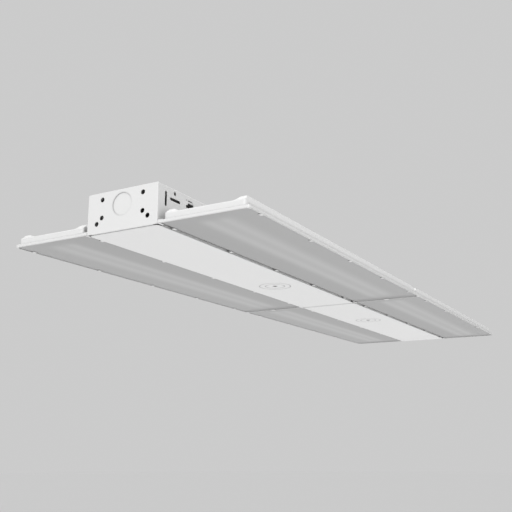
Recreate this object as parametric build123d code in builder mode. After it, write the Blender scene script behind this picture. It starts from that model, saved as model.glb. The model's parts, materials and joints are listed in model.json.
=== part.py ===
from build123d import *
import os

os.makedirs("parts", exist_ok=True)

# Overall sizes of the fixture in millimetres.
# X runs along the length, Y across the two wings, Z up, the room side is down.
LENGTH = 1168.0
WIDTH = 344.0
BOX_TOP = 50.8
MODULE = LENGTH / 2
SEAM_GAP = 0.4

# Sheets and plates.
PAN_SHEET = 1.0
CHANNEL_SHEET = 0.8
COVER_SHEET = 0.8
END_PLATE = 1.0
LENS_THICK = 2.0

# Levels above the surface the fixture lies on.
FACE_Z = 0.0
RIM_DROP = 3.0
WING_RISE = 8.2
RIB_RISE = 5.2
LIP_Z = FACE_Z + COVER_SHEET
WEB_LOW = LIP_Z + RIM_DROP
WEB_TOP = WEB_LOW + PAN_SHEET
WING_TOP = WEB_TOP + WING_RISE
RIB_TOP = WING_TOP + RIB_RISE
LEAN_Z = WING_TOP - 3.1

# Driver channel, the long box on top.
BOX_HALF = 52.15
FOOT_WIDTH = 7.05
FOOT_GAP = 0.8
IN_HALF = BOX_HALF - CHANNEL_SHEET
IN_TOP = BOX_TOP - CHANNEL_SHEET
FLANGE_HALF = BOX_HALF + FOOT_WIDTH
FLANGE_TOP = WEB_TOP + CHANNEL_SHEET
CH_X0 = -MODULE + END_PLATE
CH_X1 = MODULE - END_PLATE
FOOT_RIVET_R = 1.1
FOOT_HEAD_R = FOOT_RIVET_R + 0.9
FOOT_TAIL_R = FOOT_RIVET_R + 0.3
FOOT_Y = BOX_HALF + FOOT_HEAD_R + 0.15

# Pressed pan of one module.
PAN_X0 = -MODULE
PAN_X1 = -SEAM_GAP / 2
PAN_LEN = PAN_X1 - PAN_X0
PAN_MID = (PAN_X0 + PAN_X1) / 2
PAN_CORNER = 3.0
RIM_CORNER = 6.5
RIM_SIDE = 5.0
WING_INNER = FLANGE_HALF + FOOT_GAP
WING_OUTER = WIDTH / 2 - RIM_SIDE
WING_END = 1.5
WING_CORNER = 4.0
RIB_WIDTH = 9.0
RIB_SLOPE = 8.0
OPENING_HALF = IN_HALF - 0.45
OPENING_X0 = PAN_X0 + 12.0
OPENING_X1 = PAN_X1 - 9.0
LUG_LONG = 9.0

# Lenses.
LENS_CLEAR = 0.4
LENS_IN = FOOT_Y + FOOT_TAIL_R + 0.3
LENS_OUT = WIDTH / 2 - PAN_SHEET - LENS_CLEAR
LENS_CORNER = RIM_CORNER - 0.5
LENS_X0 = PAN_X0 + PAN_SHEET + 0.3
LENS_X1 = PAN_X1 - PAN_SHEET - 0.3

# Small tongues that hold the lenses, measured from the free end of a module.
TAB_START = 30.0
TAB_PITCH = 126.0
TAB_COUNT = int((MODULE - TAB_START - 20.0) / TAB_PITCH) + 1
TAB_WIDTH = 6.0
TAB_THICK = 1.0
TAB_BITE = 3.4
TAB_TOP = WEB_LOW - LENS_THICK
TAB_LOW = TAB_TOP - TAB_THICK
STEM_Y = OPENING_HALF + 1.5
END_TAB_Y = (WING_INNER + WING_OUTER) / 2
END_TAB_WIDTH = 8.0
TAB_X = [PAN_X0 + TAB_START + TAB_PITCH * k for k in range(TAB_COUNT)]

# Access cover between the lenses.
COVER_GAP = 0.6
COVER_HALF = OPENING_HALF - COVER_GAP
COVER_LAP = 0.7
COVER_EDGE = COVER_HALF + COVER_LAP
COVER_FLANGE_TOP = 14.0
COVER_CORNER = 5.0
COVER_X0 = PAN_X0 + 3.0
COVER_X1 = -0.3
KNOCKOUT_X = -205.0
SNAP_Z = 10.6
SNAP_R = 2.4
SNAP_HOLE = SNAP_R + 0.6
SNAP_X = (PAN_X0 + 44.0, PAN_X0 + 184.0, -160.0, -40.0)

# Screws and rivets with their holes.
SCREW_R = 1.5
SCREW_HOLE = SCREW_R + 0.2
PILOT_HOLE = SCREW_R + 0.1
RIVET_R = 1.6
RIVET_HOLE = RIVET_R + 0.1
FOOT_RIVET_HOLE = FOOT_RIVET_R + 0.1
FOOT_RIVET_X = [PAN_X0 + 14.0] + [x + TAB_PITCH / 2 for x in TAB_X[:-1]]
CAP_FLANGE = 11.0
CAP_SCREW_X = PAN_X0 + 7.0
CAP_SCREW_Y = 30.0
CAP_RIVET_Y = 32.0

# Light engine boards under the wing tops.
BOARD_Y = (LENS_IN + LENS_OUT) / 2
BOARD_WIDTH = 40.0
BOARD_THICK = 1.6
BOARD_END = 14.0
BOARD_X0 = PAN_X0 + BOARD_END
BOARD_X1 = PAN_X1 - BOARD_END
ROOM_TOP = WING_TOP - PAN_SHEET
BOARD_LOW = ROOM_TOP - BOARD_THICK
BOARD_SCREW_X = (PAN_X0 + 24.0, PAN_X0 + 204.0, PAN_X0 + 384.0, -24.0)
LED_ROW = 11.2
LED_PITCH = 23.0
LED_COUNT = int((BOARD_X1 - BOARD_X0) / LED_PITCH)
LED_SIZE = 3.0
LED_HIGH = 0.7

# Drivers under the channel roof.
DRIVER_LENGTH = 300.0
DRIVER_WIDTH = 52.0
DRIVER_HIGH = 30.0
DRIVER_FOOT = 15.0
DRIVER_X0 = PAN_X0 + 44.0
DRIVER_X1 = DRIVER_X0 + DRIVER_LENGTH
DRIVER_HALF = DRIVER_WIDTH / 2
DRIVER_LOW = IN_TOP - DRIVER_HIGH
FOOT_THICK = 1.2
DRIVER_SCREW_X = (DRIVER_X0 - 9.0, DRIVER_X1 + 9.0)
DRIVER_SCREW_Y = 16.0
CASE_WALL = 1.2

# Leads and the bushings where they pass the channel wall and the wing wall.
LEAD_R = 1.3
LEAD_X = DRIVER_X0 - 16.0
LEAD_Z = LEAN_Z - 1.3
LEAD_OUT_Z = DRIVER_LOW + 10.0
LEAD_Y = 10.0
BUSH_R = 2.7
BUSH_HOLE = BUSH_R + 0.1
BUSH_HEAD = 3.6
SOCKET_LONG = 10.0
SOCKET_WIDE = 5.0
SOCKET_HIGH = 3.6
SOCKET_X0 = LEAD_X + 3.0
SOCKET_Y = BOARD_Y - BOARD_WIDTH / 2 + 3.2

# Terminal block and the supply leads.
BLOCK_X = 22.0
BLOCK_FOOT_X = 31.0
BLOCK_SCREW_X = 26.0
SUPPLY_Z = IN_TOP - 8.0
SUPPLY_Y = 8.0
SUPPLY_R = 1.1

# Plates that join the two pans over the seam.
SPLICE_THICK = 1.5
SPLICE_HALF = 20.0
SPLICE_Y0 = WING_INNER + RIB_WIDTH + RIB_SLOPE + 2.0
SPLICE_Y1 = WING_OUTER - RIB_WIDTH - RIB_SLOPE - 2.0
SPLICE_RIVET_X = 12.0
SPLICE_RIVET_Y = (SPLICE_Y0 + 10.0, SPLICE_Y1 - 10.0)


def block(x0, x1, y0, y1, z0, z1, mode=Mode.ADD):
    with Locations(((x0 + x1) / 2, (y0 + y1) / 2, (z0 + z1) / 2)):
        Box(abs(x1 - x0), abs(y1 - y0), abs(z1 - z0), mode=mode)


def upright(x, y, z0, z1, radius, mode=Mode.ADD):
    with Locations((x, y, (z0 + z1) / 2)):
        Cylinder(radius, z1 - z0, mode=mode)


def across(x, y0, y1, z, radius, mode=Mode.ADD):
    with Locations((x, (y0 + y1) / 2, z)):
        Cylinder(radius, abs(y1 - y0), rotation=(90, 0, 0), mode=mode)


def along(x0, x1, y, z, radius, mode=Mode.ADD):
    with Locations(((x0 + x1) / 2, y, z)):
        Cylinder(radius, abs(x1 - x0), rotation=(0, 90, 0), mode=mode)


# Volume of the +Y wing of the near pan, drawn a given depth inside its outer skin.
def wing_volume(inset, low):
    x0 = PAN_X0 + WING_END + inset
    x1 = PAN_X1 - WING_END - inset
    y0 = WING_INNER + inset
    y1 = WING_OUTER - inset
    top = WING_TOP - inset
    rib = RIB_TOP - inset
    with BuildPart() as shallow:
        with BuildSketch(Plane.YZ.offset(x0)):
            with BuildLine():
                Polyline(
                    (y0, low),
                    (y0 + 0.4, top),
                    (y1 - 1.0, top),
                    (y1, LEAN_Z - inset),
                    (y1, low),
                    close=True,
                )
            make_face()
        extrude(amount=x1 - x0)
        with BuildSketch(Plane.XZ):
            with BuildLine():
                Polyline(
                    (x0, low - 1),
                    (x0, top - 2.0),
                    (x0 + 0.6, top - 0.6),
                    (x0 + 2.0, top),
                    (x1 - 2.0, top),
                    (x1 - 0.6, top - 0.6),
                    (x1, top - 2.0),
                    (x1, low - 1),
                    close=True,
                )
            make_face()
        extrude(amount=WIDTH, both=True, mode=Mode.INTERSECT)
    with BuildPart() as ridges:
        with BuildSketch(Plane.YZ.offset(x0)):
            with BuildLine():
                Polyline(
                    (WING_OUTER - RIB_WIDTH - RIB_SLOPE + inset, LEAN_Z),
                    (WING_OUTER - RIB_WIDTH - RIB_SLOPE + inset, top),
                    (WING_OUTER - RIB_WIDTH + 0.4 * inset, rib),
                    (WING_OUTER - 3.0 - inset, rib),
                    (y1, LEAN_Z),
                    close=True,
                )
            make_face()
            with BuildLine():
                Polyline(
                    (y0, LEAN_Z),
                    (y0 + 0.6, rib - 3.6),
                    (y0 + 3.0, rib),
                    (WING_INNER + RIB_WIDTH - 0.4 * inset, rib),
                    (WING_INNER + RIB_WIDTH + RIB_SLOPE - inset, top),
                    (WING_INNER + RIB_WIDTH + RIB_SLOPE - inset, LEAN_Z),
                    close=True,
                )
            make_face()
        extrude(amount=x1 - x0)
        with BuildSketch(Plane.XZ):
            with BuildLine():
                Polyline(
                    (x0 + 0.6, LEAN_Z - 1),
                    (x0 + 1.2, top - 0.6),
                    (x0 + 3.6, top + 1.2),
                    (x0 + 6.4, rib - 0.8),
                    (x0 + 8.2, rib),
                    (x1 - 8.2, rib),
                    (x1 - 6.4, rib - 0.8),
                    (x1 - 3.6, top + 1.2),
                    (x1 - 1.2, top - 0.6),
                    (x1 - 0.6, LEAN_Z - 1),
                    close=True,
                )
            make_face()
        extrude(amount=WIDTH, both=True, mode=Mode.INTERSECT)
    with BuildPart() as volume:
        add(shallow.part)
        add(ridges.part)
        with BuildSketch(Plane.XY.offset(low - 1)):
            with Locations(((x0 + x1) / 2, (y0 + y1) / 2)):
                RectangleRounded(x1 - x0, y1 - y0, WING_CORNER - inset)
        extrude(amount=RIB_TOP - low + 4, mode=Mode.INTERSECT)
    return volume.part


# Pan: one pressed sheet per module with two raised wings and a turned-down rim.
wing_skin = wing_volume(0.0, WEB_TOP - 0.6)
wing_room = wing_volume(PAN_SHEET, WEB_LOW - 0.6)

with BuildPart() as pan_near:
    with BuildSketch(Plane.XY.offset(LIP_Z)):
        with Locations((PAN_MID, 0)):
            RectangleRounded(PAN_LEN, WIDTH, PAN_CORNER)
    extrude(amount=WEB_TOP - LIP_Z)
    long_edges = pan_near.edges().group_by(Axis.Z)[-1].filter_by(Axis.X)
    chamfer(long_edges, length=0.9 * PAN_SHEET)
    add(wing_skin)
    add(wing_skin.mirror(Plane.XZ))
    with BuildSketch(Plane.XY.offset(LIP_Z - 0.5)):
        with Locations((PAN_MID, 0)):
            RectangleRounded(PAN_LEN - 2 * PAN_SHEET, WIDTH - 2 * PAN_SHEET, RIM_CORNER)
    extrude(amount=RIM_DROP + 0.5, mode=Mode.SUBTRACT)
    add(wing_room, mode=Mode.SUBTRACT)
    add(wing_room.mirror(Plane.XZ), mode=Mode.SUBTRACT)
    block(OPENING_X0, OPENING_X1, -OPENING_HALF, OPENING_HALF, 0, WEB_TOP + 5, Mode.SUBTRACT)
    # Notch in the rim and web that takes the end cap plate.
    block(PAN_X0 - 1, CH_X0, -BOX_HALF, BOX_HALF, 0, WEB_TOP + 5, Mode.SUBTRACT)
    for side in (-1, 1):
        # Tongues turned in over the outer and inner lens edges.
        for x in TAB_X:
            x0 = x - TAB_WIDTH / 2
            x1 = x + TAB_WIDTH / 2
            block(x0, x1, side * (LENS_OUT - TAB_BITE), side * WIDTH / 2, TAB_LOW, TAB_TOP)
            block(x0, x1, side * STEM_Y, side * (STEM_Y + 1.0), TAB_LOW, WEB_LOW)
            block(x0, x1, side * STEM_Y, side * (LENS_IN + 0.7), TAB_LOW, TAB_TOP)
        # Tongue at the middle of the lens end beside the seam.
        y = side * END_TAB_Y
        x0 = LENS_X1 - 3.2
        block(x0, PAN_X1, y - END_TAB_WIDTH / 2, y + END_TAB_WIDTH / 2, TAB_LOW, TAB_TOP)
        # Turned-in corners between the lens and the cover.
        lug_y0 = side * (BOX_HALF + 0.15)
        lug_y1 = side * (LENS_IN - LENS_CLEAR)
        block(PAN_X0 + 0.5, PAN_X0 + LUG_LONG, lug_y0, lug_y1, LIP_Z, LIP_Z + PAN_SHEET)
        block(PAN_X1 - LUG_LONG, PAN_X1 - 0.5, lug_y0, lug_y1, LIP_Z, LIP_Z + PAN_SHEET)
        # Holes for the board screws, the lead bushing, the rivets and the joining plate.
        for x in BOARD_SCREW_X:
            upright(x, side * BOARD_Y, ROOM_TOP - 2, WING_TOP + 1, PILOT_HOLE, Mode.SUBTRACT)
        across(LEAD_X, side * (WING_INNER - 2), side * (WING_INNER + 3), LEAD_Z, BUSH_HOLE, Mode.SUBTRACT)
        for x in FOOT_RIVET_X:
            upright(x, side * FOOT_Y, WEB_LOW - 1, WEB_TOP + 1, FOOT_RIVET_HOLE, Mode.SUBTRACT)
        for y in SPLICE_RIVET_Y:
            upright(-SPLICE_RIVET_X, side * y, ROOM_TOP - 2, WING_TOP + 1, RIVET_HOLE, Mode.SUBTRACT)
        upright(CAP_SCREW_X, side * CAP_RIVET_Y, WEB_LOW - 1, WEB_TOP + 1, RIVET_HOLE, Mode.SUBTRACT)

with BuildPart() as pan_far:
    add(pan_near.part.mirror(Plane.YZ))

export_step(pan_near.part, "parts/pan_near.step")
export_step(pan_far.part, "parts/pan_far.step")

# Driver channel: one folded sheet over the whole length with turned-out feet.
SLOT_Z = BOX_TOP - 14.0
SLOT_R = 1.8
SMALL_HOLE_R = 2.4
UPRIGHT_X = 15.4
UPRIGHT_R = 2.1
UPRIGHT_Z0 = BOX_TOP - 23.3
UPRIGHT_Z1 = BOX_TOP - 9.0
HOOK_X = 55.6
HOOK_LONG = 11.0
HOOK_R = 5.0
HOOK_Z = BOX_TOP - 11.0
HOOK_OUT = 2.6
HANGER_X = (MODULE - 84.0, MODULE - 284.0)
HANGER_Y = IN_HALF - 13.35
HANGER_R = 2.5
HANGER_LONG = 18.0
SUPPLY_KNOCKOUT_X = (90.0, 165.0)
ROOF_LOW = IN_TOP - 2.0
ROOF_HIGH = BOX_TOP + 2.0

with BuildPart() as channel:
    with BuildSketch(Plane.YZ.offset(CH_X0)):
        with BuildLine():
            Polyline(
                (-BOX_HALF, WEB_TOP),
                (-BOX_HALF, BOX_TOP - 1.4),
                (-BOX_HALF + 0.4, BOX_TOP - 0.4),
                (-BOX_HALF + 1.4, BOX_TOP),
                (BOX_HALF - 1.4, BOX_TOP),
                (BOX_HALF - 0.4, BOX_TOP - 0.4),
                (BOX_HALF, BOX_TOP - 1.4),
                (BOX_HALF, WEB_TOP),
                close=True,
            )
        make_face()
        with Locations((0, (WEB_TOP + IN_TOP) / 2 - 1)):
            Rectangle(2 * IN_HALF, IN_TOP - WEB_TOP + 2, mode=Mode.SUBTRACT)
        for side in (-1, 1):
            with Locations((side * (IN_HALF + FLANGE_HALF) / 2, WEB_TOP + CHANNEL_SHEET / 2)):
                Rectangle(FLANGE_HALF - IN_HALF, CHANNEL_SHEET)
    extrude(amount=CH_X1 - CH_X0)
    for end in (-1, 1):
        for side in (-1, 1):
            y0 = side * (IN_HALF - 1)
            y1 = side * (BOX_HALF + 1)
            # Upright slot, level slot and pilot hole beside each end.
            x = end * (MODULE - UPRIGHT_X)
            block(x - UPRIGHT_R, x + UPRIGHT_R, y0, y1, UPRIGHT_Z0, UPRIGHT_Z1, Mode.SUBTRACT)
            across(x, y0, y1, UPRIGHT_Z0, UPRIGHT_R, Mode.SUBTRACT)
            across(x, y0, y1, UPRIGHT_Z1, UPRIGHT_R, Mode.SUBTRACT)
            xa = end * (MODULE - 25.0)
            xb = end * (MODULE - 41.8)
            block(xa, xb, y0, y1, SLOT_Z - SLOT_R, SLOT_Z + SLOT_R, Mode.SUBTRACT)
            across(xa, y0, y1, SLOT_Z, SLOT_R, Mode.SUBTRACT)
            across(xb, y0, y1, SLOT_Z, SLOT_R, Mode.SUBTRACT)
            across(end * (MODULE - 32.7), y0, y1, BOX_TOP - 5.8, SMALL_HOLE_R, Mode.SUBTRACT)
            # Lanced hook: opening with its tongue turned out.
            xh = end * (MODULE - HOOK_X)
            xr = end * (MODULE - HOOK_X - HOOK_LONG)
            block(xh, xr, y0, y1, HOOK_Z - HOOK_R, HOOK_Z + HOOK_R, Mode.SUBTRACT)
            across(xr, y0, y1, HOOK_Z, HOOK_R, Mode.SUBTRACT)
            x_tab = xh + end * CHANNEL_SHEET
            y_tab = side * (BOX_HALF + HOOK_OUT)
            block(x_tab, xh, side * IN_HALF, y_tab, HOOK_Z - 2.2, HOOK_Z + 3.6)
            # Snap holes for the cover, the lead bushing hole and the foot rivets.
            for x in SNAP_X:
                across(-end * x, y0, y1, SNAP_Z, SNAP_HOLE, Mode.SUBTRACT)
            across(-end * LEAD_X, y0, y1, LEAD_Z, BUSH_HOLE, Mode.SUBTRACT)
            for x in FOOT_RIVET_X:
                upright(-end * x, side * FOOT_Y, WEB_TOP - 1, FLANGE_TOP + 1, FOOT_RIVET_HOLE, Mode.SUBTRACT)
            # Hanger slots in the roof, end cap screws and driver screws.
            for x in HANGER_X:
                hx0 = end * x - HANGER_LONG / 2
                hx1 = end * x + HANGER_LONG / 2
                hy = side * HANGER_Y
                block(hx0, hx1, hy - HANGER_R, hy + HANGER_R, ROOF_LOW, ROOF_HIGH, Mode.SUBTRACT)
                upright(hx0, hy, ROOF_LOW, ROOF_HIGH, HANGER_R, Mode.SUBTRACT)
                upright(hx1, hy, ROOF_LOW, ROOF_HIGH, HANGER_R, Mode.SUBTRACT)
            upright(end * CAP_SCREW_X, side * CAP_SCREW_Y, ROOF_LOW, ROOF_HIGH, PILOT_HOLE, Mode.SUBTRACT)
            for x in DRIVER_SCREW_X:
                upright(end * x, side * DRIVER_SCREW_Y, ROOF_LOW, ROOF_HIGH, PILOT_HOLE, Mode.SUBTRACT)
        # Round cable knockouts in the roof, each left on two bridges.
        for x in SUPPLY_KNOCKOUT_X:
            with BuildSketch(Plane.XY.offset(IN_TOP - 1)):
                with Locations((end * x, 0)):
                    Circle(11.1)
                    Circle(10.7, mode=Mode.SUBTRACT)
                    Rectangle(3.0, 30.0, mode=Mode.SUBTRACT)
            extrude(amount=CHANNEL_SHEET + 2, mode=Mode.SUBTRACT)
        upright(end * BLOCK_SCREW_X, 0, ROOF_LOW, ROOF_HIGH, PILOT_HOLE, Mode.SUBTRACT)
    upright(0, 30, ROOF_LOW, ROOF_HIGH, PILOT_HOLE, Mode.SUBTRACT)

export_step(channel.part, "parts/channel.step")

# End caps of the channel: a plate with six round holes, a knockout and four flanges.
DISC_R = 13.9
DISC_Z = BOX_TOP - 18.5
DISC_STEP = 0.6
CAP_HOLE_R = 3.0
HEM_HALF = COVER_HALF - COVER_CORNER
CAP_HOLES = (
    (BOX_HALF - 21.85, BOX_TOP - 9.0),
    (BOX_HALF - 21.85, WEB_TOP + 14.6),
    (BOX_HALF - 14.35, WEB_TOP + 7.8),
)

with BuildPart() as end_cap_near:
    block(PAN_X0, CH_X0, -BOX_HALF, BOX_HALF, LIP_Z, BOX_TOP)
    upper_corners = end_cap_near.edges().filter_by(Axis.X).group_by(Axis.Z)[-1]
    fillet(upper_corners, radius=1.0)
    front_face = end_cap_near.faces().sort_by(Axis.X)[0]
    fillet(front_face.edges(), radius=0.6)
    block(PAN_X0 + 0.7, COVER_X0 - 0.4, -HEM_HALF, HEM_HALF, LIP_Z, LIP_Z + END_PLATE)
    fx0 = CH_X0 - 0.2
    fx1 = CH_X0 + CAP_FLANGE
    for side in (-1, 1):
        block(fx0, fx1, side * (IN_HALF - END_PLATE), side * IN_HALF, WEB_TOP + 7.2, BOX_TOP - 2.8)
    block(fx0, fx1, 8.0 - IN_HALF, IN_HALF - 8.0, IN_TOP - END_PLATE, IN_TOP)
    block(fx0, fx1, 8.0 - IN_HALF, IN_HALF - 8.0, WEB_TOP, WEB_TOP + END_PLATE)
    for side in (-1, 1):
        for y, z in CAP_HOLES:
            along(PAN_X0 - 1, CH_X0 + 1, side * y, z, CAP_HOLE_R, Mode.SUBTRACT)
        upright(CAP_SCREW_X, side * CAP_SCREW_Y, IN_TOP - 3, IN_TOP + 0.1, SCREW_HOLE, Mode.SUBTRACT)
        upright(CAP_SCREW_X, side * CAP_RIVET_Y, WEB_TOP - 1, WEB_TOP + 3, RIVET_HOLE, Mode.SUBTRACT)
    # Half sheared knockout: a disc pressed in by part of the plate's thickness.
    along(PAN_X0 - 1, PAN_X0 + DISC_STEP, 0, DISC_Z, DISC_R, Mode.SUBTRACT)
    along(CH_X0 - 0.1, CH_X0 + DISC_STEP, 0, DISC_Z, DISC_R)

with BuildPart() as end_cap_far:
    add(end_cap_near.part.mirror(Plane.YZ))

export_step(end_cap_near.part, "parts/end_cap_near.step")
export_step(end_cap_far.part, "parts/end_cap_far.step")

# Access cover of one module with snap flanges and two concentric knockouts.
COVER_FLANGE_X0 = LEAD_X + 7.0
COVER_FLANGE_X1 = OPENING_X1 - 0.5
COVER_LOW_TOP = LEAD_Z - BUSH_HEAD - 0.6
RING_R = (24.75, 15.25)
RING_SLIT = 0.4

with BuildPart() as cover_near:
    with BuildSketch(Plane.XY.offset(FACE_Z)):
        with Locations(((COVER_X0 + COVER_X1) / 2, 0)):
            RectangleRounded(COVER_X1 - COVER_X0, 2 * COVER_EDGE, COVER_CORNER)
    extrude(amount=COVER_SHEET)
    for side in (-1, 1):
        y0 = side * (COVER_HALF - COVER_SHEET)
        y1 = side * COVER_HALF
        z0 = FACE_Z + COVER_SHEET / 2
        block(COVER_FLANGE_X0, COVER_FLANGE_X1, y0, y1, z0, COVER_FLANGE_TOP)
        block(OPENING_X0 + 0.5, COVER_FLANGE_X0 + 1, y0, y1, z0, COVER_LOW_TOP)
        for x in SNAP_X:
            across(x, side * (COVER_HALF - COVER_SHEET / 2), side * (BOX_HALF - 0.35), SNAP_Z, SNAP_R)
    for r in RING_R:
        with BuildSketch(Plane.XY.offset(FACE_Z - 1)):
            with Locations((KNOCKOUT_X, 0)):
                Circle(r + RING_SLIT / 2)
                Circle(r - RING_SLIT / 2, mode=Mode.SUBTRACT)
                Rectangle(3.0, 60.0, rotation=45, mode=Mode.SUBTRACT)
        extrude(amount=COVER_SHEET + 2, mode=Mode.SUBTRACT)
    upright(KNOCKOUT_X, 0, FACE_Z - 1, FACE_Z + COVER_SHEET + 1, 4.0, Mode.SUBTRACT)

with BuildPart() as cover_far:
    add(cover_near.part.mirror(Plane.YZ))

export_step(cover_near.part, "parts/cover_near.step")
export_step(cover_far.part, "parts/cover_far.step")

# Frosted lenses, one per wing and module.
with BuildPart() as lens_near_left:
    with BuildSketch(Plane.XY.offset(TAB_TOP)):
        with Locations(((LENS_X0 + LENS_X1) / 2, (LENS_IN + LENS_OUT) / 2)):
            RectangleRounded(LENS_X1 - LENS_X0, LENS_OUT - LENS_IN, LENS_CORNER)
    extrude(amount=LENS_THICK)

with BuildPart() as lens_near_right:
    add(lens_near_left.part.mirror(Plane.XZ))
with BuildPart() as lens_far_left:
    add(lens_near_left.part.mirror(Plane.YZ))
with BuildPart() as lens_far_right:
    add(lens_near_right.part.mirror(Plane.YZ))

export_step(lens_near_left.part, "parts/lens_near_left.step")
export_step(lens_near_right.part, "parts/lens_near_right.step")
export_step(lens_far_left.part, "parts/lens_far_left.step")
export_step(lens_far_right.part, "parts/lens_far_right.step")

# Light engine: a long board with two rows of emitters and one plug socket.
with BuildPart() as board_near_left:
    board_y0 = BOARD_Y - BOARD_WIDTH / 2
    board_y1 = BOARD_Y + BOARD_WIDTH / 2
    block(BOARD_X0, BOARD_X1, board_y0, board_y1, BOARD_LOW, ROOM_TOP)
    for x in BOARD_SCREW_X:
        upright(x, BOARD_Y, BOARD_LOW - 1, ROOM_TOP + 1, SCREW_HOLE, Mode.SUBTRACT)

with BuildPart() as emitters_near_left:
    for row in (-1, 1):
        for k in range(LED_COUNT):
            x = PAN_MID + (k - (LED_COUNT - 1) / 2) * LED_PITCH
            y = BOARD_Y + row * LED_ROW
            h = LED_SIZE / 2
            block(x - h, x + h, y - h, y + h, BOARD_LOW - LED_HIGH, BOARD_LOW)

with BuildPart() as socket_near_left:
    sy0 = SOCKET_Y - SOCKET_WIDE / 2
    sy1 = SOCKET_Y + SOCKET_WIDE / 2
    block(SOCKET_X0, SOCKET_X0 + SOCKET_LONG, sy0, sy1, BOARD_LOW - SOCKET_HIGH, BOARD_LOW)

for name, source in (
    ("board", board_near_left),
    ("emitters", emitters_near_left),
    ("socket", socket_near_left),
):
    near_left = source.part
    near_right = near_left.mirror(Plane.XZ)
    far_left = near_left.mirror(Plane.YZ)
    far_right = near_right.mirror(Plane.YZ)
    export_step(near_left, "parts/" + name + "_near_left.step")
    export_step(near_right, "parts/" + name + "_near_right.step")
    export_step(far_left, "parts/" + name + "_far_left.step")
    export_step(far_right, "parts/" + name + "_far_right.step")

# Pan head screws that hold the boards against the pan.
with BuildPart() as board_screws:
    for end in (-1, 1):
        for side in (-1, 1):
            for x in BOARD_SCREW_X:
                upright(-end * x, side * BOARD_Y, BOARD_LOW - 1.8, BOARD_LOW, 2.9)
                upright(-end * x, side * BOARD_Y, BOARD_LOW - 0.2, WING_TOP + 1.6, SCREW_R)

export_step(board_screws.part, "parts/board_screws.step")

# Drivers: a thin metal case with a foot at each end around a potted core, hung from the channel roof.
CORE_Z0 = DRIVER_LOW + CASE_WALL
CORE_Z1 = IN_TOP - CASE_WALL
CORE_X0 = DRIVER_X0 + CASE_WALL
CORE_X1 = DRIVER_X1 - CASE_WALL
CORE_Y = DRIVER_HALF - CASE_WALL

with BuildPart() as driver_case_near:
    block(DRIVER_X0, DRIVER_X1, -DRIVER_HALF, DRIVER_HALF, DRIVER_LOW, IN_TOP)
    body_edges = driver_case_near.edges().filter_by(Axis.X).group_by(Axis.Z)[0]
    chamfer(body_edges, length=0.8 * CASE_WALL)
    block(CORE_X0, CORE_X1, -CORE_Y, CORE_Y, CORE_Z0, CORE_Z1, Mode.SUBTRACT)
    foot_y = DRIVER_HALF - 2.0
    foot_z = IN_TOP - FOOT_THICK
    block(DRIVER_X0 - DRIVER_FOOT, DRIVER_X0 + CASE_WALL / 2, -foot_y, foot_y, foot_z, IN_TOP)
    block(DRIVER_X1 - CASE_WALL / 2, DRIVER_X1 + DRIVER_FOOT, -foot_y, foot_y, foot_z, IN_TOP)
    for side in (-1, 1):
        for x in DRIVER_SCREW_X:
            upright(x, side * DRIVER_SCREW_Y, IN_TOP - 3, IN_TOP + 1, SCREW_HOLE, Mode.SUBTRACT)
        along(DRIVER_X0 - 1, CORE_X0 + 1, side * LEAD_Y, LEAD_OUT_Z, LEAD_R + 0.7, Mode.SUBTRACT)
        along(CORE_X1 - 1, DRIVER_X1 + 1, side * SUPPLY_Y, SUPPLY_Z, SUPPLY_R + 0.7, Mode.SUBTRACT)

with BuildPart() as driver_core_near:
    block(CORE_X0, CORE_X1, -CORE_Y, CORE_Y, CORE_Z0, CORE_Z1)

with BuildPart() as driver_case_far:
    add(driver_case_near.part.mirror(Plane.YZ))
with BuildPart() as driver_core_far:
    add(driver_core_near.part.mirror(Plane.YZ))

export_step(driver_case_near.part, "parts/driver_case_near.step")
export_step(driver_case_far.part, "parts/driver_case_far.step")
export_step(driver_core_near.part, "parts/driver_core_near.step")
export_step(driver_core_far.part, "parts/driver_core_far.step")

# Screws from inside, their tips level with the roof so that it lies flat on a ceiling.
with BuildPart() as driver_screws:
    for end in (-1, 1):
        for side in (-1, 1):
            for x in DRIVER_SCREW_X:
                head_z = IN_TOP - FOOT_THICK
                upright(end * x, side * DRIVER_SCREW_Y, head_z - 2.0, head_z, 2 * SCREW_R)
                upright(end * x, side * DRIVER_SCREW_Y, head_z - 0.2, BOX_TOP, SCREW_R)

export_step(driver_screws.part, "parts/driver_screws.step")

# Terminal block and earth screw under the middle of the roof.
with BuildPart() as terminal_block:
    block(-BLOCK_X, BLOCK_X, -14.0, 14.0, IN_TOP - 13.0, IN_TOP - 2.0)
    block(-BLOCK_FOOT_X, BLOCK_FOOT_X, -7.0, 7.0, IN_TOP - 2.0, IN_TOP)
    for side in (-1, 1):
        for y in (-SUPPLY_Y, 0.0, SUPPLY_Y):
            along(side * (BLOCK_X + 1), side * (BLOCK_X - 5), y, SUPPLY_Z, SUPPLY_R + 0.5, Mode.SUBTRACT)
        upright(side * BLOCK_SCREW_X, 0, IN_TOP - 3, IN_TOP + 1, SCREW_HOLE, Mode.SUBTRACT)

export_step(terminal_block.part, "parts/terminal_block.step")

with BuildPart() as block_screws:
    for side in (-1, 1):
        upright(side * BLOCK_SCREW_X, 0, IN_TOP - 4.0, IN_TOP - 2.0, 2.9)
        upright(side * BLOCK_SCREW_X, 0, IN_TOP - 2.2, BOX_TOP, SCREW_R)

export_step(block_screws.part, "parts/block_screws.step")

with BuildPart() as earth_screw:
    upright(0, 30, IN_TOP - 2.4, IN_TOP, 4.0)
    upright(0, 30, IN_TOP - 0.2, BOX_TOP, SCREW_R)
    block(-2.8, 2.8, 29.5, 30.5, IN_TOP - 2.6, IN_TOP - 1.6, Mode.SUBTRACT)

export_step(earth_screw.part, "parts/earth_screw.step")

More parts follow.
